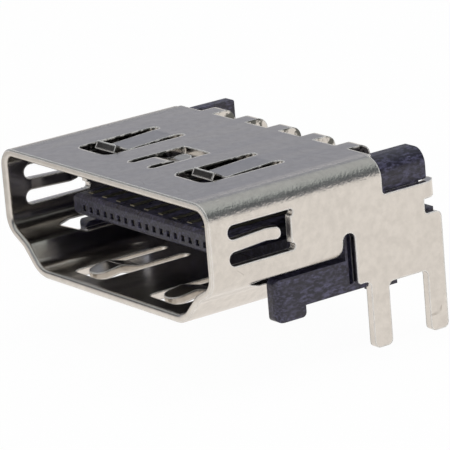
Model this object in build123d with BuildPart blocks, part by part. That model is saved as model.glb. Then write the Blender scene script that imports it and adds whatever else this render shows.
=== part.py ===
from build123d import *
import os

# Right-angle board socket for a digital video plug: a folded sheet shell, a moulded housing
# with the contact tongue, and two rows of sprung contacts with surface-mount tails.
# X runs across the mouth, +Y runs from the mouth to the back, and Z = 0 is the board's top.

os.makedirs("parts", exist_ok=True)

# Sheet and mouth
sheet = 0.35
mouth_width = 14.0
mouth_height = 4.55
floor_gap = 0.42
rim_lead = 0.16
rim_edge = 0.06

# Outline of the mouth: corners before folding, measured on the outside
roof_bend = 0.84
shoulder_rise = 1.72
knee_rise = 1.08
knee_inset = 1.14
floor_inset = 2.16
shoulder_bend = 1.05
knee_bend = 0.80
floor_bend = 1.35

# Depths of the shell's walls, from the mouth
roof_depth = 8.79
roof_bend_gap = 0.18
shell_depth = 11.54

# Relief between each side wall and the slanted wall below it, and the notch behind it
relief_start = 1.99
relief_full = 2.93
relief_height = 0.48
relief_drop = 3.27
relief_slope = 0.09
relief_run = 0.60
notch_front = 6.46
notch_width = 0.62
notch_drop = 2.31
notch_round = 0.36

# Board legs and the edges of the side plates
leg_drop = 2.08
front_leg = 7.72
leg_width = 0.90
leg_round = 0.24
leg_root_round = 0.25
plate_low = 0.54
shoulder_low = 0.78
plate_round = 0.15
back_edge_drop = 2.43
back_round = 0.27

# Tabs that are folded in behind the housing's necks
tab_drop = 1.13
tab_width = 0.68
tab_inset = 0.84
tab_bend = 0.80
tab_turn = 80
tab_round = 0.28

# Roof windows and fingers
finger_bend = 0.30
gentle_bend = 0.60
roof_window_centre = 3.41
roof_window_width = 2.25
roof_window_back = 6.02
roof_window_round = 0.42
roof_finger_width = 1.36
roof_finger_knee = 3.31
roof_finger_end = 0.60
roof_tip_gap = 0.75
roof_finger_depth = 0.12
roof_tip_rise = 0.34
middle_window_width = 1.80
middle_window_front = 1.98
middle_window_round = 0.10
middle_finger_width = 0.98
middle_finger_fold = 3.12
middle_finger_dip = 3.95
middle_finger_end = 0.55
middle_tip_gap = 0.41
middle_finger_depth = 0.27
middle_tip_depth = 0.11

# Side windows and fingers
side_window_drop = 0.645
side_window_height = 1.69
side_window_front = 0.89
side_window_relief = 0.15
side_finger_width = 0.49
side_finger_crease = 2.95
side_finger_end = 0.58
side_tip_gap = 0.44
side_finger_depth = 0.27
side_tip_depth = 0.02
side_finger_round = 0.20

# Floor windows and fingers
floor_window_centre = 2.66
floor_window_width = 2.14
floor_window_back = 5.31
floor_window_round = 0.38
floor_finger_width = 1.06
floor_finger_fold = 3.00
floor_finger_crown = 2.10
floor_finger_end = 1.15
floor_tip_gap = 0.21
floor_finger_lift = 0.24
floor_tip_lift = 0.08

# Back flap on its hinge strips
hinge_count = 5
hinge_pitch = 2.31
hinge_width = 0.84
hinge_bend = 0.50
flap_reach = 1.13
flap_drop = 0.56
flap_height = 3.75
flap_width = 11.30

# Housing
housing_gap = 0.47
tongue_width = 10.50
tongue_thickness = 0.90
tongue_drop = 1.76
tongue_front = 2.10
tongue_round = 0.30
nose_top_bevel = 0.15
nose_low_bevel = 0.08
block_front = 6.78
block_short = 0.36
block_top_gap = 0.04
ear_inset = 1.10
ear_gap = 0.06
ear_short = 0.39
ear_rise = 0.20
ear_fold = 0.70
ear_edge = 0.10
neck_gap = 0.04
ledge_drop = 2.32
ledge_short = 0.13
arm_inset = 0.65
arm_front = 3.27
arm_drop = 3.53
arm_round = 0.30
foot_length = 1.39
foot_round = 0.20
foot_turn = 0.35
back_foot_start = 8.45
back_foot_length = 1.36
groove_width = 0.18
groove_depth = 0.25

# Contacts
upper_count = 10
lower_count = 9
contact_pitch = 1.00
contact_width = 0.30
contact_thickness = 0.20
contact_proud = 0.03
contact_rise = 0.15
contact_run = 0.45
contact_bend = 0.22
tip_width = 0.14
tip_setback = 0.09
tip_drop = 0.10
pocket_width = 0.23
pocket_height = 0.25
pocket_depth = 0.20
upper_reach = 0.77
lower_reach = 0.29
tail_short = 0.34

# Levels and edges worked out from the sizes above
half_in = mouth_width / 2
half_out = half_in + sheet
floor_low = floor_gap
floor_top = floor_low + sheet
floor_mid = floor_low + sheet / 2
roof_low = floor_top + mouth_height
roof_top = roof_low + sheet
roof_mid = roof_low + sheet / 2
roof_fold_low = roof_top - roof_bend
roof_bend_depth = roof_depth - roof_bend_gap
floor_depth = block_front
relief_top = roof_low - relief_drop
notch_top = roof_low - notch_drop
notch_back = notch_front + notch_width
notch_quarter = notch_width / 2 * 0.98
front_leg_end = front_leg + leg_width
rear_leg = shell_depth - leg_width
back_edge_top = roof_low - back_edge_drop
tab_top = roof_low - tab_drop
tab_low = tab_top - tab_width
tab_start = shell_depth - tab_inset
tab_fold = tab_start + sheet / 4
side_mid = half_in + sheet / 2
side_window_mid = roof_low - side_window_drop - side_window_height / 2
roof_finger_tip = roof_finger_knee - roof_finger_end
roof_window_front = roof_finger_tip - roof_tip_gap
middle_finger_tip = middle_finger_dip + middle_finger_end
middle_window_back = middle_finger_tip + middle_tip_gap
side_finger_tip = side_finger_crease + side_finger_end
side_window_back = side_finger_tip + side_tip_gap
floor_finger_tip = floor_finger_crown - floor_finger_end
floor_window_front = floor_finger_tip - floor_tip_gap
flap_depth = roof_depth + flap_reach
tongue_top = roof_low - tongue_drop
tongue_low = tongue_top - tongue_thickness
tongue_mid = tongue_top - tongue_thickness / 2
tip_level = tongue_mid - tip_drop
block_back = roof_depth - block_short
rise_start = tongue_front + contact_rise
rise_end = tongue_front + contact_run
upper_down = block_back + upper_reach
lower_down = block_back + lower_reach
tail_end = shell_depth - tail_short
cheek_top = roof_low - block_top_gap
ear_front = roof_depth + ear_gap
ear_back = shell_depth - ear_short
ear_low = tab_top + neck_gap
ear_top = roof_low + ear_rise
neck_back = tab_fold - neck_gap
ledge_top = roof_low - ledge_drop
ledge_back = shell_depth - ledge_short
arm_top = roof_low - arm_drop
past = 1.0


def bent_strip(points, bends, width):
    """A strip of the sheet whose middle follows points in the YZ plane, centred on X = 0."""
    with BuildPart() as strip:
        with BuildSketch(Plane.YZ):
            with BuildLine():
                FilletPolyline(*points, radius=bends)
            trace(line_width=sheet)
        extrude(amount=width / 2, both=True)
    return strip.part


def mouth_outline():
    """Corner points and fold radii of the mouth's outside, round from the right roof corner."""
    right = [
        (half_out, roof_top),
        (half_out, floor_low + shoulder_rise),
        (half_out - knee_inset, floor_low + knee_rise),
        (half_out - floor_inset, floor_low),
    ]
    left = [(-x, z) for x, z in reversed(right)]
    radii = [roof_bend, shoulder_bend, knee_bend, floor_bend]
    return right + left, radii + radii[::-1]


def spoon_outline(width, root, tip):
    """A finger's outline seen from above, with its free end rounded in full like a spoon."""
    end = tip + width / 2 if root > tip else tip - width / 2
    with BuildSketch() as outline:
        with Locations((0, end)):
            Circle(width / 2)
        with Locations((0, (root + end) / 2)):
            Rectangle(width, abs(root - end))
    return outline.sketch


def finger_window(width, finger, length, corner):
    """Window round a finger that is rooted at y = 0 and points to -y, with two round slot ends."""
    slot = (width - finger) / 2
    with BuildSketch() as window:
        with Locations((0, -slot / 2)):
            Rectangle(width, length - slot / 2, align=(Align.CENTER, Align.MAX))
        fillet(window.vertices().group_by(Axis.Y)[0], radius=corner)
        with Locations((-(width - slot) / 2, -slot / 2), ((width - slot) / 2, -slot / 2)):
            Circle(slot / 2)
    return window.sketch


# Spring fingers of the shell

roof_finger = bent_strip(
    [
        (roof_window_back + sheet, roof_mid),
        (roof_window_back - sheet, roof_mid),
        (roof_finger_knee, roof_mid - roof_finger_depth),
        (roof_finger_tip, roof_mid - roof_finger_depth + roof_tip_rise),
    ],
    [gentle_bend, finger_bend],
    roof_finger_width,
)

with BuildPart() as middle_finger:
    add(
        bent_strip(
            [
                (middle_window_front - sheet, roof_mid),
                (middle_finger_fold, roof_mid),
                (middle_finger_dip, roof_mid - middle_finger_depth),
                (middle_finger_tip, roof_mid - middle_tip_depth),
            ],
            [gentle_bend, gentle_bend],
            middle_finger_width,
        )
    )
    middle_outline = spoon_outline(middle_finger_width, middle_window_front - sheet, middle_finger_tip)
    extrude(middle_outline, amount=roof_top, mode=Mode.INTERSECT)

with BuildPart() as floor_finger:
    add(
        bent_strip(
            [
                (floor_window_back + sheet, floor_mid),
                (floor_finger_fold, floor_mid),
                (floor_finger_crown, floor_mid + floor_finger_lift),
                (floor_finger_tip, floor_mid + floor_tip_lift),
            ],
            [gentle_bend, gentle_bend],
            floor_finger_width,
        )
    )
    floor_outline = spoon_outline(floor_finger_width, floor_window_back + sheet, floor_finger_tip)
    extrude(floor_outline, amount=roof_top, mode=Mode.INTERSECT)

with BuildPart() as side_finger:
    # The finger leans into the mouth and turns out again at its crease
    with BuildSketch(Plane.XY.offset(side_window_mid)):
        with BuildLine():
            FilletPolyline(
                (side_mid, side_window_front - sheet),
                (side_mid, side_window_front + sheet),
                (side_mid - side_finger_depth, side_finger_crease),
                (side_mid - side_tip_depth, side_finger_tip),
                radius=[finger_bend, finger_bend],
            )
        trace(line_width=sheet)
    extrude(amount=side_finger_width / 2, both=True)
    tip = side_finger.faces().sort_by(Axis.Y)[-1]
    fillet(tip.edges().sort_by(Axis.Z)[0::3], radius=side_finger_round)

with BuildPart() as back_flap:
    # Five hinge strips come off the roof's back edge and turn down into one panel
    strip = bent_strip(
        [
            (roof_depth - sheet, roof_mid),
            (flap_depth - sheet / 2, roof_mid),
            (flap_depth - sheet / 2, roof_low - flap_drop - sheet),
        ],
        [hinge_bend - sheet / 2],
        hinge_width,
    )
    with GridLocations(hinge_pitch, 0, hinge_count, 1):
        add(strip)
    with BuildSketch(Plane.XZ.offset(-flap_depth)):
        with Locations((0, roof_low - flap_drop - flap_height / 2)):
            RectangleRounded(flap_width, flap_height, sheet)
    extrude(amount=sheet)

with BuildPart() as tab:
    # Right tab, bent in round a fold at the side plate's back edge, with a rounded lower corner
    with BuildSketch(Plane.XY.offset(tab_low)):
        with BuildLine():
            Line((side_mid, tab_start - sheet), (side_mid, tab_fold))
            CenterArc((half_out - tab_bend, tab_fold), tab_bend - sheet / 2, 0, tab_turn)
        trace(line_width=sheet)
    extrude(amount=tab_width)
    with BuildSketch(Plane.YZ):
        with BuildLine():
            FilletPolyline(
                (tab_start - sheet, tab_low),
                (tab_fold + tab_bend, tab_low),
                (tab_fold + tab_bend, tab_top),
                (tab_start - sheet, tab_top),
                radius=[0, tab_round, tab_round / 2, 0],
                close=True,
            )
        make_face()
    extrude(amount=half_out, mode=Mode.INTERSECT)


# The shell, folded from one sheet

with BuildPart() as shell:
    corners, folds = mouth_outline()
    with BuildSketch(Plane.XZ):
        with BuildLine():
            FilletPolyline(*corners, radius=folds, close=True)
        make_face()
        offset(amount=-sheet, mode=Mode.SUBTRACT)
    extrude(amount=-roof_depth)

    # The rim's inside edge is rounded to lead the plug in, and its outside edge is only broken
    rim = shell.faces().sort_by(Axis.Y)[0]
    fillet(rim.inner_wires()[0].edges(), radius=rim_lead)
    rim = shell.faces().sort_by(Axis.Y)[0]
    chamfer(rim.outer_wire().edges(), length=rim_edge)

    # A relief slit along each lower fold, and all that lies below the notch behind it
    with BuildSketch(Plane.YZ):
        with BuildLine():
            FilletPolyline(
                (relief_start, relief_top - relief_slope),
                (relief_start + relief_run, relief_top),
                (notch_front, relief_top),
                (notch_front, notch_top),
                (roof_depth + past, notch_top),
                (roof_depth + past, -past),
                (floor_depth, -past),
                (floor_depth, relief_top - relief_height),
                (relief_full, relief_top - relief_height),
                radius=[0, 0, notch_round, notch_quarter, 0, 0, 0, 0, relief_height],
                close=True,
            )
        make_face()
    extrude(amount=half_out + past, both=True, mode=Mode.SUBTRACT)

    # The roof folds end a little before the roof's back edge
    with BuildSketch(Plane.XY.offset(roof_top + past)):
        with Locations((-half_out, roof_bend_depth + past), (half_out, roof_bend_depth + past)):
            Rectangle(roof_bend * 2, past * 2)
    extrude(amount=-mouth_height, mode=Mode.SUBTRACT)

    # Right side plate with its two legs, flat from the notch to the back
    with BuildSketch(Plane.YZ.offset(half_in)):
        with BuildLine():
            FilletPolyline(
                (notch_front - sheet, roof_fold_low),
                (roof_bend_depth, roof_fold_low),
                (roof_bend_depth, tab_top),
                (tab_fold, tab_top),
                (tab_fold, tab_low),
                (tab_start, tab_low),
                (tab_start, back_edge_top),
                (shell_depth, back_edge_top),
                (shell_depth, -leg_drop),
                (rear_leg, -leg_drop),
                (rear_leg, plate_low),
                (front_leg_end, plate_low),
                (front_leg_end, -leg_drop),
                (front_leg, -leg_drop),
                (front_leg, shoulder_low),
                (notch_back, shoulder_low),
                (notch_back, notch_top),
                (notch_front - sheet, notch_top),
                radius=[0, 0, plate_round, 0, 0, 0, plate_round, back_round]
                + [leg_round, leg_round, leg_root_round, leg_root_round, leg_round, leg_round]
                + [leg_root_round, plate_round, notch_quarter, 0],
                close=True,
            )
        make_face()
    extrude(amount=sheet)
    add(tab.part)
    mirror(about=Plane.YZ)

    # Windows in the roof
    with BuildSketch(Plane.XY.offset(roof_low - sheet)):
        with Locations((-roof_window_centre, roof_window_back), (roof_window_centre, roof_window_back)):
            add(
                finger_window(
                    roof_window_width,
                    roof_finger_width,
                    roof_window_back - roof_window_front,
                    roof_window_round,
                )
            )
        with Locations((0, middle_window_front)):
            add(
                finger_window(
                    middle_window_width,
                    middle_finger_width,
                    middle_window_back - middle_window_front,
                    middle_window_round,
                ),
                rotation=180,
            )
    extrude(amount=sheet * 3, mode=Mode.SUBTRACT)

    # Windows in the floor
    with BuildSketch(Plane.XY.offset(floor_low - sheet)):
        with Locations((-floor_window_centre, floor_window_back), (floor_window_centre, floor_window_back)):
            add(
                finger_window(
                    floor_window_width,
                    floor_finger_width,
                    floor_window_back - floor_window_front,
                    floor_window_round,
                )
            )
    extrude(amount=sheet * 3, mode=Mode.SUBTRACT)

    # Windows in both sides, with a small relief at each back corner
    with BuildSketch(Plane.YZ):
        with Locations((side_window_front, side_window_mid)):
            add(
                finger_window(
                    side_window_height,
                    side_finger_width,
                    side_window_back - side_window_front,
                    side_window_relief,
                ),
                rotation=90,
            )
        corner_reach = side_window_height / 2 - side_window_relief
        with Locations(
            (side_window_back, side_window_mid - corner_reach),
            (side_window_back, side_window_mid + corner_reach),
        ):
            Circle(side_window_relief)
    extrude(amount=half_out + past, both=True, mode=Mode.SUBTRACT)

    # Fingers and the back flap
    with Locations((-roof_window_centre, 0, 0), (roof_window_centre, 0, 0)):
        add(roof_finger)
    add(middle_finger.part)
    with Locations((-floor_window_centre, 0, 0), (floor_window_centre, 0, 0)):
        add(floor_finger.part)
    add(side_finger.part)
    add(mirror(side_finger.part, about=Plane.YZ, mode=Mode.PRIVATE))
    add(back_flap.part)

shell.part.label = "shell"
export_step(shell.part, "parts/shell.step")


# Contacts: each rises from the nose to the tongue's face, runs back through the block,
# turns down behind it and ends in a flat tail on the board

def contact(face_level, inward, down_at):
    """One contact, centred on X = 0. inward is -1 under the tongue's top and 1 over its underside."""
    run_level = face_level + inward * (contact_thickness / 2 - contact_proud)
    with BuildPart() as strip:
        with BuildSketch(Plane.YZ):
            with BuildLine():
                FilletPolyline(
                    (tongue_front + tip_setback, tip_level),
                    (rise_start, tip_level),
                    (rise_end, run_level),
                    (down_at - contact_bend, run_level),
                    (down_at, run_level - contact_bend),
                    (down_at, contact_thickness / 2),
                    (tail_end, contact_thickness / 2),
                    radius=[0, 0, 0, 0, contact_bend],
                )
            trace(line_width=contact_thickness)
        extrude(amount=contact_width / 2, both=True)
        # The tip is drawn narrower than the rest
        with BuildSketch(Plane.XY):
            with Locations((0, tongue_front)):
                Rectangle(tip_width, tail_end, align=(Align.CENTER, Align.MIN))
            with Locations((0, rise_start)):
                Rectangle(contact_width, tail_end, align=(Align.CENTER, Align.MIN))
        extrude(amount=roof_low, mode=Mode.INTERSECT)
    return strip.part


def row(one, count, name):
    """A row of contacts at the pitch, each its own piece."""
    placed = []
    for number in range(count):
        place = (number - (count - 1) / 2) * contact_pitch
        piece = Pos(place, 0, 0) * one
        piece.label = f"{name}_{number + 1:02d}"
        placed.append(piece)
    return placed


upper_contacts = row(contact(tongue_top, -1, upper_down), upper_count, "contact_upper")
lower_contacts = row(contact(tongue_low, 1, lower_down), lower_count, "contact_lower")
contacts = upper_contacts + lower_contacts
for piece in contacts:
    export_step(piece, f"parts/{piece.label}.step")


# Housing

with BuildPart() as ear:
    # Right ear, the neck under it that the tab folds round, and the ledge under the neck
    with BuildSketch(Plane.YZ.offset(half_in - ear_inset)):
        with BuildLine():
            FilletPolyline(
                (ear_front, housing_gap),
                (ledge_back, housing_gap),
                (ledge_back, ledge_top),
                (neck_back, ledge_top),
                (neck_back, ear_low),
                (ear_back, ear_low),
                (ear_back, ear_top),
                (ear_front, ear_top),
                radius=[0, 0, 0, 0, 0, ear_edge, ear_edge, 0],
                close=True,
            )
        make_face()
    extrude(amount=ear_inset)
    # Seen from behind, the top is rounded over to the side
    with BuildSketch(Plane.XZ):
        with BuildLine():
            FilletPolyline(
                (half_in - ear_inset, housing_gap),
                (half_in, housing_gap),
                (half_in, ear_top),
                (half_in - ear_inset, ear_top),
                radius=[0, 0, ear_fold, 0],
                close=True,
            )
        make_face()
    extrude(amount=-shell_depth, mode=Mode.INTERSECT)

with BuildPart() as arm:
    # Right side arm under the free edge of the side wall, with its front foot
    with BuildSketch(Plane.YZ.offset(half_in - arm_inset)):
        with BuildLine():
            FilletPolyline(
                (block_front + sheet, housing_gap),
                (arm_front + foot_length, housing_gap),
                (arm_front + foot_length, 0),
                (arm_front, 0),
                (arm_front, arm_top),
                (block_front + sheet, arm_top),
                radius=[0, 0, foot_round, foot_round, arm_round, 0],
                close=True,
            )
        make_face()
    extrude(amount=arm_inset)
    # Seen from above, the front corner is rounded
    with BuildSketch(Plane.XY):
        with BuildLine():
            FilletPolyline(
                (half_in - arm_inset, arm_front),
                (half_in, arm_front),
                (half_in, block_front + sheet),
                (half_in - arm_inset, block_front + sheet),
                radius=[0, foot_turn, 0, 0],
                close=True,
            )
        make_face()
    extrude(amount=arm_top, mode=Mode.INTERSECT)

with BuildPart() as housing:
    # Contact tongue with its bevelled nose
    with BuildSketch(Plane.YZ):
        with BuildLine():
            Polyline(
                (block_front, tongue_low),
                (tongue_front + nose_low_bevel, tongue_low),
                (tongue_front, tongue_low + nose_low_bevel),
                (tongue_front, tongue_top - nose_top_bevel),
                (tongue_front + nose_top_bevel, tongue_top),
                (block_front, tongue_top),
                close=True,
            )
        make_face()
    extrude(amount=tongue_width / 2, both=True)
    with BuildSketch(Plane.XZ):
        with Locations((0, tongue_mid)):
            RectangleRounded(tongue_width, tongue_thickness, tongue_round)
    extrude(amount=-block_front, mode=Mode.INTERSECT)

    # Body block across the back of the mouth, rounded to sit under the roof's folds
    with BuildSketch(Plane.XZ.offset(-block_front)):
        with BuildLine():
            FilletPolyline(
                (-half_in, housing_gap),
                (half_in, housing_gap),
                (half_in, cheek_top),
                (-half_in, cheek_top),
                radius=[0, 0, roof_bend - sheet, roof_bend - sheet],
                close=True,
            )
        make_face()
    extrude(amount=-(ear_front - block_front))

    # Arms, ears and back feet
    with BuildSketch(Plane.XY):
        with Locations((half_in - arm_inset, back_foot_start)):
            Rectangle(ear_inset - arm_inset, back_foot_length, align=(Align.MAX, Align.MIN))
    extrude(amount=housing_gap * 2)
    add(arm.part)
    add(ear.part)
    mirror(about=Plane.YZ)

    # Chamber between the cheeks, where the contacts turn down
    with BuildSketch(Plane.XY):
        with Locations((0, block_back)):
            Rectangle(
                mouth_width - ear_inset * 2,
                shell_depth - block_back,
                align=(Align.CENTER, Align.MIN),
            )
    extrude(amount=roof_top, mode=Mode.SUBTRACT)

    # Upright groove that shows behind the shell's notch
    with BuildSketch(Plane.XY.offset(shoulder_low)):
        with Locations((-half_in, notch_back), (half_in, notch_back)):
            Rectangle(groove_depth * 2, groove_width, align=(Align.CENTER, Align.MAX))
    extrude(amount=notch_top + groove_width - shoulder_low, mode=Mode.SUBTRACT)

    # Pockets in the nose, where the contacts' tips show, and the contacts' own channels
    with BuildSketch(Plane.XZ.offset(-tongue_front)):
        with Locations((0, tip_level)):
            with GridLocations(contact_pitch / 2, 0, upper_count + lower_count, 1):
                Rectangle(pocket_width, pocket_height)
    extrude(amount=-pocket_depth, mode=Mode.SUBTRACT)
    add(contacts, mode=Mode.SUBTRACT)

housing.part.label = "housing"
export_step(housing.part, "parts/housing.step")
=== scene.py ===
# %% [markdown]
# # A board socket for a digital video plug
#
# This lesson dresses a small connector: a folded metal shell, a dark moulded housing and two rows
# of sprung contacts. The shapes come ready made, as a fixed frame in metres. What is left is what
# the eye judges: the sheet's shine, the grain of the plastic, the light and the point of view.

# %% Load the frame
import bpy
import math
from mathutils import Matrix, Vector


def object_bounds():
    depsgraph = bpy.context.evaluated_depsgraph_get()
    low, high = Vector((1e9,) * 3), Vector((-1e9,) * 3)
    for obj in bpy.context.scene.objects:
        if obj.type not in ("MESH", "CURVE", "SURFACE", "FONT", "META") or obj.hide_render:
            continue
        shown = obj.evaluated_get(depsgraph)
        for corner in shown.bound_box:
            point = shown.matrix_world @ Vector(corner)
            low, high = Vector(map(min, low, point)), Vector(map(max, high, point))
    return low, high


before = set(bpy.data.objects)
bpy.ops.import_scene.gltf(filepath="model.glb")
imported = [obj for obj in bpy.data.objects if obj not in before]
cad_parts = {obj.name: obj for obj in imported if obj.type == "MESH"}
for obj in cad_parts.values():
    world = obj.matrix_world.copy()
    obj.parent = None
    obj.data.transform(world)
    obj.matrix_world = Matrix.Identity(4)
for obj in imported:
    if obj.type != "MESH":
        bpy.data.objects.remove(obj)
cad_low, cad_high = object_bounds()
millimetre = 0.001
print("nodes:", len(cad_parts))

# %% [markdown]
# ## The camera
#
# A product photograph of something this small is taken with a long lens from close by. The lens
# is long enough here that lines to the back hardly meet. The camera is set by where it stands,
# its turn round the part, its height above it and a small roll, because those are what a
# photographer changes, and Blender's camera looks along its own minus Z.

# %% Place the camera
view_turn = math.radians(54.878)
view_height = math.radians(15.979)
view_roll = math.radians(-4.809)
view_distance = 153.86 * millimetre
aim_right = 5.046 * millimetre
aim_up = -1.644 * millimetre
aim_level = 5.32 * millimetre
picture_width = 450
focal_pixels = 3830.9
film_width = 36
nearest_seen = 1 * millimetre
farthest_seen = 10

back = Vector(
    (
        math.sin(view_turn) * math.cos(view_height),
        -math.cos(view_turn) * math.cos(view_height),
        math.sin(view_height),
    )
)
level_right = Vector((math.cos(view_turn), math.sin(view_turn), 0))
level_up = back.cross(level_right)
right = level_right * math.cos(view_roll) + level_up * math.sin(view_roll)
up = level_up * math.cos(view_roll) - level_right * math.sin(view_roll)
place = right * aim_right + up * aim_up + back * view_distance + Vector((0, 0, aim_level))

lens = bpy.data.cameras.new("view_camera")
lens.sensor_width = film_width
lens.lens = focal_pixels / picture_width * film_width
lens.clip_start = nearest_seen
lens.clip_end = farthest_seen
camera = bpy.data.objects.new("view_camera", lens)
turn = Matrix((right, up, back)).transposed()
camera.matrix_world = Matrix.Translation(place) @ turn.to_4x4()
bpy.context.scene.collection.objects.link(camera)
bpy.context.scene.camera = camera
bpy.context.scene.view_settings.view_transform = "Standard"
print("camera at", [round(v / millimetre, 1) for v in place], "mm, lens", round(lens.lens), "mm")

# %% [markdown]
# ## Helpers for node trees
#
# Every finish below is a small graph of nodes. Adding nodes and links by hand takes a line for
# each setting, so three helpers keep the graphs readable: one gives a socket its value or its
# link, one adds a node, and one does sums. They do nothing that the Shader Editor doesn't do.

# %% Three helpers
def feed(tree, value, socket):
    """Link an output to a socket, or give the socket a plain number or colour."""
    if isinstance(value, bpy.types.NodeSocket):
        tree.links.new(value, socket)
    else:
        socket.default_value = value


def put(tree, kind, inputs=None, **settings):
    """Add a shader node, set its properties and feed its inputs."""
    node = tree.nodes.new("ShaderNode" + kind)
    for name, value in settings.items():
        setattr(node, name, value)
    for name, value in (inputs or {}).items():
        feed(tree, value, node.inputs[name])
    return node


def maths(tree, operation, *values, clamp=False):
    """A Math node over numbers and outputs; gives its result."""
    node = put(tree, "Math", dict(enumerate(values)), operation=operation, use_clamp=clamp)
    return node.outputs[0]


print("helpers:", feed.__name__, put.__name__, maths.__name__)

# %% [markdown]
# ## The room
#
# Bright metal shows the room more than itself. The photograph was taken over a white table, so
# the side walls mirror white, while the roof mirrors the room just above the table, which is a
# cool grey. To the right there is a dark band above the table and a paler ceiling over it: the
# roof's fold shows them as stripes. A colour ramp over the height of the ray's direction paints
# each side of such a room. A picture of a room would do it too, but a ramp has no seams and can
# be tuned stripe by stripe.

# %% The room's stripes
table_glow = (0.97, 0.93, 0.89, 1)
ceiling_grey = (0.42, 0.44, 0.46, 1)
left_stripes = (
    (0.00, table_glow),
    (0.13, (0.70, 0.68, 0.67, 1)),  # haze over the table
    (0.26, (0.25, 0.265, 0.33, 1)),  # the cool grey that the roof mirrors
    (0.50, (0.31, 0.33, 0.37, 1)),
    (0.68, (0.62, 0.64, 0.62, 1)),  # the lit part of the ceiling
    (1.00, ceiling_grey),
)
right_stripes = (
    (0.00, table_glow),
    (0.13, (0.86, 0.83, 0.81, 1)),  # brighter haze
    (0.26, (0.24, 0.25, 0.27, 1)),
    (0.40, (0.10, 0.11, 0.12, 1)),  # the dark band, in the fold's lower half
    (0.62, (0.13, 0.14, 0.15, 1)),
    (0.74, (0.42, 0.46, 0.46, 1)),
    (0.86, (0.62, 0.65, 0.64, 1)),  # the lit ceiling, in the fold's upper half
    (1.00, ceiling_grey),
)


def stripe_ramp(tree, height, stripes):
    """A colour ramp over the height, with one stop for each stripe."""
    ramp = put(tree, "ValToRGB", {"Fac": height})
    ramp.color_ramp.interpolation = "B_SPLINE"
    first, last = ramp.color_ramp.elements
    first.position, first.color = stripes[0]
    last.position, last.color = stripes[-1]
    for position, tone in stripes[1:-1]:
        ramp.color_ramp.elements.new(position).color = tone
    return ramp.outputs["Color"]


print("room stripes:", len(left_stripes), "left,", len(right_stripes), "right")

# %% [markdown]
# The world's direction is a vector of length one, so its X says how far a ray goes to the right,
# its Y how far to the back and its Z how far up. A soft step over X passes from the left side's
# stripes to the right side's, and the metal shows no seam where they meet.

# %% Two sides of a room
left_to_right = (-0.25, 0.35)


def slope(tree, source, change):
    """0 below the change's start, 1 above its stop, and a soft step between."""
    start, stop = change
    node = put(
        tree,
        "MapRange",
        {"Value": source, "From Min": start, "From Max": stop},
        interpolation_type="SMOOTHSTEP",
    )
    return node.outputs["Result"]


world = bpy.data.worlds.new("studio_world")
bpy.context.scene.world = world
world.use_nodes = True
room = world.node_tree
room.nodes.clear()
ray = put(room, "SeparateXYZ", {0: put(room, "TexCoord").outputs["Generated"]}).outputs
sides = put(
    room,
    "MixRGB",
    {
        "Fac": slope(room, ray["X"], left_to_right),
        "Color1": stripe_ramp(room, ray["Z"], left_stripes),
        "Color2": stripe_ramp(room, ray["Z"], right_stripes),
    },
)
print("world:", world.name)

# %% [markdown]
# The front left corner of the room is dark, which blackens the small faces that look that way,
# such as the turned-up ends of the roof's fingers. A ray misses the corner where it goes to the
# back, to the right, overhead or low over the table, so the largest of four soft steps tells how
# far it misses. Camera rays see plain white instead of the room, for the white background.

# %% The dark corner and the background
to_the_back = (-0.48, -0.28)
to_the_right = (-0.52, -0.24)
to_overhead = (0.42, 0.56)
above_table = (0.08, 0.24)
corner_tone = (0.03, 0.03, 0.03, 1)
white = (1, 1, 1, 1)

beside = maths(
    room, "MAXIMUM", slope(room, ray["Y"], to_the_back), slope(room, ray["X"], to_the_right)
)
low_or_high = maths(
    room,
    "MAXIMUM",
    slope(room, ray["Z"], to_overhead),
    maths(room, "SUBTRACT", 1.0, slope(room, ray["Z"], above_table)),
)
missed = maths(room, "MAXIMUM", beside, low_or_high)
corner = put(
    room, "MixRGB", {"Fac": missed, "Color1": corner_tone, "Color2": sides.outputs["Color"]}
)
mirrored_room = put(room, "Background", {"Color": corner.outputs["Color"]})
backdrop = put(room, "Background", {"Color": white})
either = put(
    room,
    "MixShader",
    {
        0: put(room, "LightPath").outputs["Is Camera Ray"],
        1: mirrored_room.outputs[0],
        2: backdrop.outputs[0],
    },
)
put(room, "OutputWorld", {"Surface": either.outputs[0]})
print("world nodes:", len(room.nodes))

# %% [markdown]
# ## The table
#
# The socket stands on its solder legs on a white table. A white plane under a lamp never renders
# as pure white, and lamps strong enough for that would bleach the part. The plane is therefore
# mostly a white glow for the camera and for mirror rays, and a white matt sheet for all other
# light, so that it still bounces light upwards and keeps a faint shadow under the legs. In mirror
# rays the glow is a little warm, as the walls are in the photograph, and it fades towards the
# front left, which keeps the mouth's rim a little greyer than the side walls.

# %% The table's finish
glow_share = 0.97
front_left = (-0.707, -0.707, 0)
shade_start = 2 * millimetre
shade_stop = 32 * millimetre
shade_tone = 0.66
mirrored_tone = (1.0, 0.957, 0.915, 1)
matt_white = (0.8, 0.8, 0.8, 1)


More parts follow.
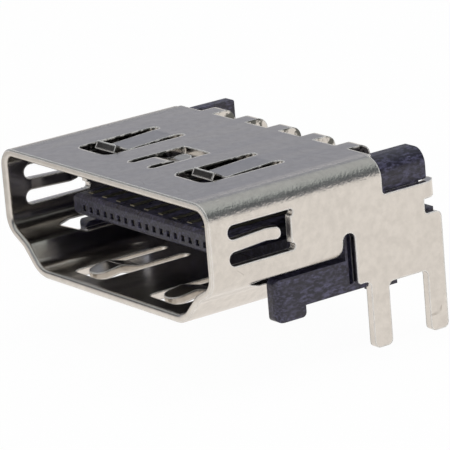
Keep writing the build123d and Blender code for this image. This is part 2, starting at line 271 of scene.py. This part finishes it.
def table_finish():
    """A white glow for the camera and mirror rays, and a matt white for all other light."""
    material = bpy.data.materials.new("table_white")
    material.use_nodes = True
    tree = material.node_tree
    tree.nodes.clear()
    kinds = put(tree, "LightPath").outputs
    by_camera = kinds["Is Camera Ray"]
    tint = put(tree, "MixRGB", {"Fac": by_camera, "Color1": mirrored_tone, "Color2": white})
    spot = put(tree, "TexCoord").outputs["Object"]
    along = put(tree, "VectorMath", {0: spot, 1: front_left}, operation="DOT_PRODUCT")
    fading = put(
        tree,
        "MapRange",
        {
            "Value": along.outputs["Value"],
            "From Min": shade_start,
            "From Max": shade_stop,
            "To Min": 1.0,
            "To Max": shade_tone,
        },
        interpolation_type="SMOOTHSTEP",
    )
    strength = maths(tree, "MAXIMUM", fading.outputs["Result"], by_camera)
    glow = put(tree, "Emission", {"Color": tint.outputs["Color"], "Strength": strength})
    matt = put(tree, "BsdfDiffuse", {"Color": matt_white})
    seen = maths(tree, "MAXIMUM", by_camera, kinds["Is Glossy Ray"])
    share = maths(tree, "MULTIPLY", seen, glow_share)
    blend = put(tree, "MixShader", {0: share, 1: matt.outputs[0], 2: glow.outputs[0]})
    put(tree, "OutputMaterial", {"Surface": blend.outputs[0]})
    return material


table_white = table_finish()
print("finish:", table_white.name)

# %% [markdown]
# The plane is far larger than the part, so that its edge never shows in the metal, and it lies a
# hair under the legs' tips, so that no face of the part lies in the same plane.

# %% The table
table_size = 3.0
table_gap = 0.02 * millimetre

bpy.ops.mesh.primitive_plane_add(size=table_size, location=(0, 0, cad_low.z - table_gap))
table = bpy.context.object
table.name = "studio_table"
table.data.materials.append(table_white)
print("table at", round(table.location.z / millimetre, 2), "mm")

# %% [markdown]
# ## The lamps
#
# Large square lamps stand in for softboxes. They matter mostly to the dark plastic, which mirrors
# little. The metal would show them as bright squares that the photograph doesn't have, so they
# are kept out of mirror rays, and the room's stripes alone make the metal's reflections.

# %% Softboxes
def softbox(name, where, towards, size, power):
    """A square area lamp at a point, facing another, left out of mirror rays."""
    lamp = bpy.data.lights.new(name, "AREA")
    lamp.shape = "SQUARE"
    lamp.size = size
    lamp.energy = power
    holder = bpy.data.objects.new(name, lamp)
    holder.location = where
    holder.rotation_euler = (Vector(towards) - Vector(where)).to_track_quat("-Z", "Y").to_euler()
    holder.visible_glossy = False
    bpy.context.scene.collection.objects.link(holder)


middle = (cad_low + cad_high) / 2
softbox("front_left_box", where=(-0.12, -0.22, 0.10), towards=middle, size=0.16, power=0.12)
softbox("right_box", where=(0.28, -0.04, 0.06), towards=middle, size=0.18, power=0.40)
softbox("top_box", where=(0.0, 0.05, 0.32), towards=middle, size=0.22, power=0.48)
print("lamps:", len(bpy.data.lights))

# %% [markdown]
# ## Effects that the finishes share
#
# Grain and worn edges come back in every finish with other values, so each is a node group, made
# once. The handling marks are a group too, ready for another metal. A group here gives out only
# masks and normals. The shader itself stays in the material, where its plain settings can be read.

# %% Helpers for groups
def new_group(name, inputs, outputs):
    """A node group with its sockets: the group, what it is given, and where its results go."""
    group = bpy.data.node_groups.new(name, "ShaderNodeTree")
    for label, kind, value in inputs:
        kind = "NodeSocket" + kind
        socket = group.interface.new_socket(label, in_out="INPUT", socket_type=kind)
        if value is not None:
            socket.default_value = value
    for label, kind in outputs:
        kind = "NodeSocket" + kind
        group.interface.new_socket(label, in_out="OUTPUT", socket_type=kind)
    given = group.nodes.new("NodeGroupInput").outputs
    result = group.nodes.new("NodeGroupOutput").inputs
    return group, given, result


def place_group(tree, group, inputs):
    """Put a group into a material with its own values; gives its outputs."""
    node = tree.nodes.new("ShaderNodeGroup")
    node.node_tree = group
    for label, value in inputs.items():
        feed(tree, value, node.inputs[label])
    return node.outputs


print("helpers:", new_group.__name__, place_group.__name__)

# %% [markdown]
# Grain is two layers of noise: a fine one for the tooth of the surface and a broad one for the
# slow drift of tone over it. Object coordinates are in metres here, so a scale of one over the
# grain's size in metres gives grains of that size, whatever the picture's size.

# %% Grain
fine_detail = 2.0
broad_detail = 3.0
noise_roughness = 0.55


def make_grain():
    """Two layers of noise over the surface."""
    group, given, result = new_group(
        "grain",
        (
            ("Vector", "Vector", None),
            ("Fine Scale", "Float", 8000.0),
            ("Broad Scale", "Float", 900.0),
        ),
        (("Fine", "Float"), ("Broad", "Float")),
    )
    for layer, detail in (("Fine", fine_detail), ("Broad", broad_detail)):
        noise = put(
            group,
            "TexNoise",
            {
                "Vector": given["Vector"],
                "Scale": given[layer + " Scale"],
                "Detail": detail,
                "Roughness": noise_roughness,
            },
        )
        feed(group, noise.outputs["Fac"], result[layer])
    return group


grain = make_grain()
print("group:", grain.name)

# %% [markdown]
# Handling marks are hairlines: short, thin, in no order. A level line of a noise is a thin curve,
# so the distance of a noise from its middle value, cut off close to nothing, draws hairlines. A
# second noise over the same place hides most of them, and the more is asked for, the lower the
# level above which that noise lets a line stay.

# %% Handling marks
noise_middle = 0.5
level_at_none = 0.70
level_fall = 0.45


def make_marks():
    """A mask of a few thin, crooked lines."""
    group, given, result = new_group(
        "handling_marks",
        (
            ("Vector", "Vector", None),
            ("Scale", "Float", 700.0),
            ("Width", "Float", 0.012),
            ("Amount", "Float", 0.35),
        ),
        (("Mask", "Float"),),
    )
    spread_out = {"Vector": given["Vector"], "Scale": given["Scale"]}
    lines = put(group, "TexNoise", {**spread_out, "Detail": 1.0, "Distortion": 0.6})
    centred = maths(group, "SUBTRACT", lines.outputs["Fac"], noise_middle)
    distance = maths(group, "ABSOLUTE", centred)
    widths_away = maths(group, "DIVIDE", distance, given["Width"])
    line = maths(group, "SUBTRACT", 1.0, widths_away, clamp=True)
    patches = put(group, "TexNoise", {**spread_out, "Detail": 2.0})
    fall = maths(group, "MULTIPLY", given["Amount"], level_fall)
    level = maths(group, "SUBTRACT", level_at_none, fall)
    stays = maths(group, "GREATER_THAN", patches.outputs["Fac"], level)
    feed(group, maths(group, "MULTIPLY", line, stays), result["Mask"])
    return group


marks = make_marks()
print("group:", marks.name)

# %% [markdown]
# No stamped or moulded edge is truly sharp, and the thin light line that a rounded edge catches
# is what makes metal look like metal. The Bevel node bends the normal close to an edge without
# new faces, which suits a fixed frame whose mesh stays as it is. Where the bent normal leaves the
# true one, the surface is near an edge, so the same node also gives the mask for edge wear, and on
# the sheet also for a painted edge highlight.

# %% Worn edges
bevel_samples = 6
bend_gain = 8.0


def make_worn_edge():
    """The normal of a rounded edge, and a mask of where it is."""
    group, given, result = new_group(
        "worn_edge",
        (("Radius", "Float", 0.05 * millimetre),),
        (("Normal", "Vector"), ("Mask", "Float")),
    )
    rounded = put(group, "Bevel", {"Radius": given["Radius"]}, samples=bevel_samples)
    rounded = rounded.outputs["Normal"]
    true_normal = put(group, "NewGeometry").outputs["Normal"]
    alike = put(group, "VectorMath", {0: rounded, 1: true_normal}, operation="DOT_PRODUCT")
    bend = maths(group, "SUBTRACT", 1.0, alike.outputs["Value"])
    feed(group, rounded, result["Normal"])
    feed(group, maths(group, "MULTIPLY", bend, bend_gain, clamp=True), result["Mask"])
    return group


worn_edge = make_worn_edge()
print("group:", worn_edge.name)

# %% [markdown]
# ## A material to fill in
#
# All finishes start alike: an empty tree with the Principled shader, its output and the Object
# coordinates, which hold still on the piece from every side. Three more helpers fill it in: one
# maps a range of a mask or noise onto a range of a setting, one lays a tone over a colour, and
# one makes the bump that roughens the rounded normal. Noise keeps close to its middle value, so
# most masks start from the middle part of its range.

# %% A bare material and its helpers
whole = (0.0, 1.0)
middle_part = (0.35, 0.65)
wide_part = (0.3, 0.7)


def bare_material(name, settings):
    """An empty material: its tree, its shader with plain settings, and Object coordinates."""
    material = bpy.data.materials.new(name)
    material.use_nodes = True
    tree = material.node_tree
    tree.nodes.clear()
    shader = put(tree, "BsdfPrincipled", settings)
    put(tree, "OutputMaterial", {"Surface": shader.outputs[0]})
    return material, tree, shader.inputs, put(tree, "TexCoord").outputs["Object"]


def spread(tree, source, seen=whole, wanted=whole):
    """Map a value from the range that is seen onto the one that is wanted, clamped."""
    ends = {"From Min": seen[0], "From Max": seen[1], "To Min": wanted[0], "To Max": wanted[1]}
    return put(tree, "MapRange", {"Value": source, **ends}, clamp=True).outputs["Result"]


def tinted(tree, mask, base, tone):
    """A tone laid over a base colour where a mask is."""
    mix = put(tree, "Mix", {"Factor": mask}, data_type="RGBA", clamp_factor=True)
    colours = [socket for socket in mix.inputs if socket.type == "RGBA"]
    feed(tree, base, colours[0])
    feed(tree, tone, colours[1])
    return next(socket for socket in mix.outputs if socket.type == "RGBA")


def bumped(tree, height, normal, strength, distance):
    """A normal, roughened by a height."""
    inputs = {"Height": height, "Normal": normal, "Strength": strength, "Distance": distance}
    return put(tree, "Bump", inputs).outputs["Normal"]


print("ready to mix finishes")

# %% [markdown]
# ## The plated sheet
#
# The shell is stamped and folded from thin sheet with a bright plating. Rolled sheet is nearly a
# mirror with a faint tooth. Where it is folded, the outer skin stretches and its grains lift, like
# orange peel, so the folds along both sides look mottled. The distance from the middle plane
# tells the folds apart: they lie beyond the flat roof's half width. Where the punch sheared the
# roof, the cut is partly smooth and partly torn. The cut faces that look sideways, within the
# roof, are the walls of its slots, and they get dark spots of painted shade. The surface's own
# direction, from the Geometry node, picks them out.
# A picture of sheet metal could be wrapped round the shell instead, but it would need cutting up
# at the folds, while noise on Object coordinates runs on through them.

# %% Where the roof is folded and cut
fold_start = 6.05 * millimetre
fold_full = 6.45 * millimetre
fold_foot = 4.65 * millimetre
fold_step = fold_full - fold_start
cut_reach = 5.7 * millimetre
cut_step = 0.1 * millimetre
looks_sideways = (0.6, 0.9)
slot_shade_part = (0.46, 0.54)


def folds_and_cuts(tree, place):
    """Two masks: the roof's folds, and its cut faces that look sideways."""
    part = put(tree, "SeparateXYZ", {0: place}).outputs
    facing = put(tree, "SeparateXYZ", {0: put(tree, "NewGeometry").outputs["Normal"]}).outputs
    aside = maths(tree, "ABSOLUTE", part["X"])
    folded = maths(
        tree,
        "MULTIPLY",
        spread(tree, aside, (fold_start, fold_full)),
        spread(tree, part["Z"], (fold_foot, fold_foot + fold_step)),
    )
    roof = maths(
        tree,
        "MULTIPLY",
        spread(tree, aside, (cut_reach, fold_start), (1.0, 0.0)),
        spread(tree, part["Z"], (fold_foot, fold_foot + cut_step)),
    )
    sideways = spread(tree, maths(tree, "ABSOLUTE", facing["X"]), looks_sideways)
    return folded, maths(tree, "MULTIPLY", sideways, roof)


print("fold from", round(fold_start / millimetre, 2), "mm off the middle plane")

# %% [markdown]
# The colour is a warm white that drifts a little, with hairlines, pale edges and dark spots of
# painted shade on the slot walls over it. Plating wears smooth and pale on an edge, and the
# near-white edge tone is partly that wear and partly a painted highlight, the thin bright line
# that a rounded edge catches. A mirror would only show the room there, so the edge is made less
# metallic: then the lamps light it, as a thin bright line. Rolling draws the sheet from front to
# back, so the noise for the roughness is stretched along Y. On the folds the tooth is much deeper
# and the rolling lines are gone.

# %% Plated sheet
sheet_drift = ((0.635, 0.607, 0.570, 1), (0.700, 0.670, 0.630, 1))
sheet_hairline = (0.30, 0.27, 0.24, 1)
# partly edge wear, partly a painted highlight: the pale line that a rounded edge catches
sheet_wear_and_highlight = (0.98, 0.97, 0.95, 1)
# painted shade: the dark tone of the spots on the roof's slot walls
slot_wall_shade = (0.12, 0.12, 0.11, 1)
hairline_cover = (0.0, 0.5)
sheet_wear_and_highlight_cover = (0.0, 0.6)
sheet_roughness = (0.13, 0.22)
fold_roughness = (0.0, 0.06)
edge_core = (0.1, 0.9)
edge_metallic = (1.0, 0.15)
rolled_stretch = (1.0, 0.06, 1.0)
tooth_height = (0.12, 8.0)
rolled_height = (0.22, 0.0)


def plated_sheet():
    """The shell's finish: rolled, folded, sheared and handled sheet."""
    material, tree, shader, place = bare_material("plated_sheet", {})
    rolled = put(tree, "Mapping", {"Vector": place, "Scale": rolled_stretch}).outputs[0]
    tooth = place_group(
        tree, grain, {"Vector": place, "Fine Scale": 9500.0, "Broad Scale": 2800.0}
    )
    streaks = place_group(
        tree, grain, {"Vector": rolled, "Fine Scale": 6000.0, "Broad Scale": 1600.0}
    )
    hairlines = place_group(
        tree, marks, {"Vector": place, "Scale": 420.0, "Width": 0.006, "Amount": 0.16}
    )
    edges = place_group(tree, worn_edge, {"Radius": 0.12 * millimetre})
    folded, cut = folds_and_cuts(tree, place)
    # painted shade: dark spots over the sideways cut faces within the roof, the slot walls
    slot_shade_spots = maths(tree, "MULTIPLY", cut, spread(tree, tooth["Broad"], slot_shade_part))

    tone = tinted(tree, spread(tree, tooth["Broad"], middle_part), *sheet_drift)
    scratched = spread(tree, hairlines["Mask"], wanted=hairline_cover)
    # the pale edge mask: partly wear, partly a painted highlight
    worn = spread(tree, edges["Mask"], wanted=sheet_wear_and_highlight_cover)
    tone = tinted(tree, scratched, tone, sheet_hairline)
    tone = tinted(tree, worn, tone, sheet_wear_and_highlight)
    tone = tinted(tree, slot_shade_spots, tone, slot_wall_shade)
    feed(tree, tone, shader["Base Color"])
    feed(tree, spread(tree, edges["Mask"], edge_core, edge_metallic), shader["Metallic"])
    rough = spread(tree, streaks["Broad"], middle_part, sheet_roughness)
    rougher = spread(tree, folded, wanted=fold_roughness)
    feed(tree, maths(tree, "ADD", rough, rougher), shader["Roughness"])

    peel = spread(tree, folded, wanted=tooth_height)
    lines = spread(tree, folded, wanted=rolled_height)
    height = maths(
        tree,
        "ADD",
        maths(tree, "MULTIPLY", tooth["Fine"], peel),
        maths(tree, "MULTIPLY", streaks["Fine"], lines),
    )
    depth = 0.004 * millimetre
    normal = bumped(tree, height, edges["Normal"], strength=0.55, distance=depth)
    feed(tree, normal, shader["Normal"])
    return material


sheet = plated_sheet()
print("finish:", sheet.name, "with", len(sheet.node_tree.nodes), "nodes")

# %% [markdown]
# ## The moulded plastic
#
# The housing is moulded from a stiff plastic filled with short glass fibres. Fibres at the skin
# show as pale, bluish flecks and make the surface dull and uneven. The fine noise gives the
# flecks, and the broad one says where they are many and where the skin is smoother. The noise is
# longer from front to back, because the fibres lie along the flow of the melt. The flecks could be
# scattered as tiny shapes, but they lie in the skin and not on it, so a tint is nearer to them.

# %% Moulded plastic
plastic_drift = ((0.011, 0.010, 0.020, 1), (0.084, 0.080, 0.140, 1))
plastic_edge = (0.10, 0.10, 0.13, 1)
plastic_roughness = (0.26, 0.46)
fleck_part = (0.42, 0.66)
fleck_share = (0.25, 1.0)
plastic_edge_cover = (0.0, 0.35)
melt_stretch = (1.0, 0.4, 1.0)


def moulded_plastic():
    """The housing's finish: a dark, fibre-filled moulding."""
    material, tree, shader, place = bare_material(
        "moulded_plastic", {"Specular IOR Level": 0.50, "Metallic": 0.0}
    )
    flow = put(tree, "Mapping", {"Vector": place, "Scale": melt_stretch}).outputs[0]
    fibres = place_group(
        tree, grain, {"Vector": flow, "Fine Scale": 10500.0, "Broad Scale": 2600.0}
    )
    edges = place_group(tree, worn_edge, {"Radius": 0.05 * millimetre})

    flecks = maths(
        tree,
        "MULTIPLY",
        spread(tree, fibres["Fine"], fleck_part),
        spread(tree, fibres["Broad"], middle_part, fleck_share),
    )
    tone = tinted(tree, flecks, *plastic_drift)
    worn = spread(tree, edges["Mask"], wanted=plastic_edge_cover)
    tone = tinted(tree, worn, tone, plastic_edge)
    feed(tree, tone, shader["Base Color"])
    rough = spread(tree, fibres["Broad"], wide_part, plastic_roughness)
    feed(tree, rough, shader["Roughness"])
    depth = 0.006 * millimetre
    normal = bumped(tree, fibres["Fine"], edges["Normal"], strength=0.5, distance=depth)
    feed(tree, normal, shader["Normal"])
    return material


plastic = moulded_plastic()
print("finish:", plastic.name, "with", len(plastic.node_tree.nodes), "nodes")

# %% [markdown]
# ## The contact plating
#
# The contacts are springy copper alloy under a thin, dull gold. The gold isn't even: it drifts
# towards olive where it is thin, and a plug drags fine lines along each contact. The lines run
# front to back, so the noise for them is stretched along Y. The shader's anisotropic setting could
# stretch the shine too, but it would draw every contact alike, and worn gold isn't even.

# %% Contact plating
gold_drift = ((0.26, 0.25, 0.19, 1), (0.38, 0.36, 0.26, 1))
gold_edge = (0.52, 0.50, 0.40, 1)
gold_roughness = (0.22, 0.42)
gold_edge_cover = (0.0, 0.5)
drag_stretch = (1.0, 0.08, 1.0)


def contact_plating():
    """The contacts' finish: thin, uneven gold with dragged lines."""
    material, tree, shader, place = bare_material("contact_plating", {"Metallic": 1.0})
    dragged = put(tree, "Mapping", {"Vector": place, "Scale": drag_stretch}).outputs[0]
    cover = place_group(
        tree, grain, {"Vector": place, "Fine Scale": 9000.0, "Broad Scale": 2500.0}
    )
    streaks = place_group(
        tree, grain, {"Vector": dragged, "Fine Scale": 16000.0, "Broad Scale": 4000.0}
    )
    edges = place_group(tree, worn_edge, {"Radius": 0.025 * millimetre})

    tone = tinted(tree, spread(tree, cover["Broad"], middle_part), *gold_drift)
    worn = spread(tree, edges["Mask"], wanted=gold_edge_cover)
    tone = tinted(tree, worn, tone, gold_edge)
    feed(tree, tone, shader["Base Color"])
    feed(tree, spread(tree, streaks["Fine"], wide_part, gold_roughness), shader["Roughness"])
    depth = 0.003 * millimetre
    normal = bumped(tree, streaks["Fine"], edges["Normal"], strength=0.4, distance=depth)
    feed(tree, normal, shader["Normal"])
    return material


gold = contact_plating()
print("finish:", gold.name, "with", len(gold.node_tree.nodes), "nodes")

# %% [markdown]
# ## Dress the pieces
#
# The pieces of the frame stay as they are. Each gets its finish in its material slot: the shell,
# the housing, and the contacts, which share one.

# %% Dress the pieces
finishes = {"shell": sheet, "housing": plastic, "contact": gold}
for name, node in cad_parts.items():
    finish = finishes["contact" if name.startswith("contact") else name]
    node.data.materials.clear()
    node.data.materials.append(finish)
print("dressed:", len(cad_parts), "pieces in", len(finishes), "finishes")
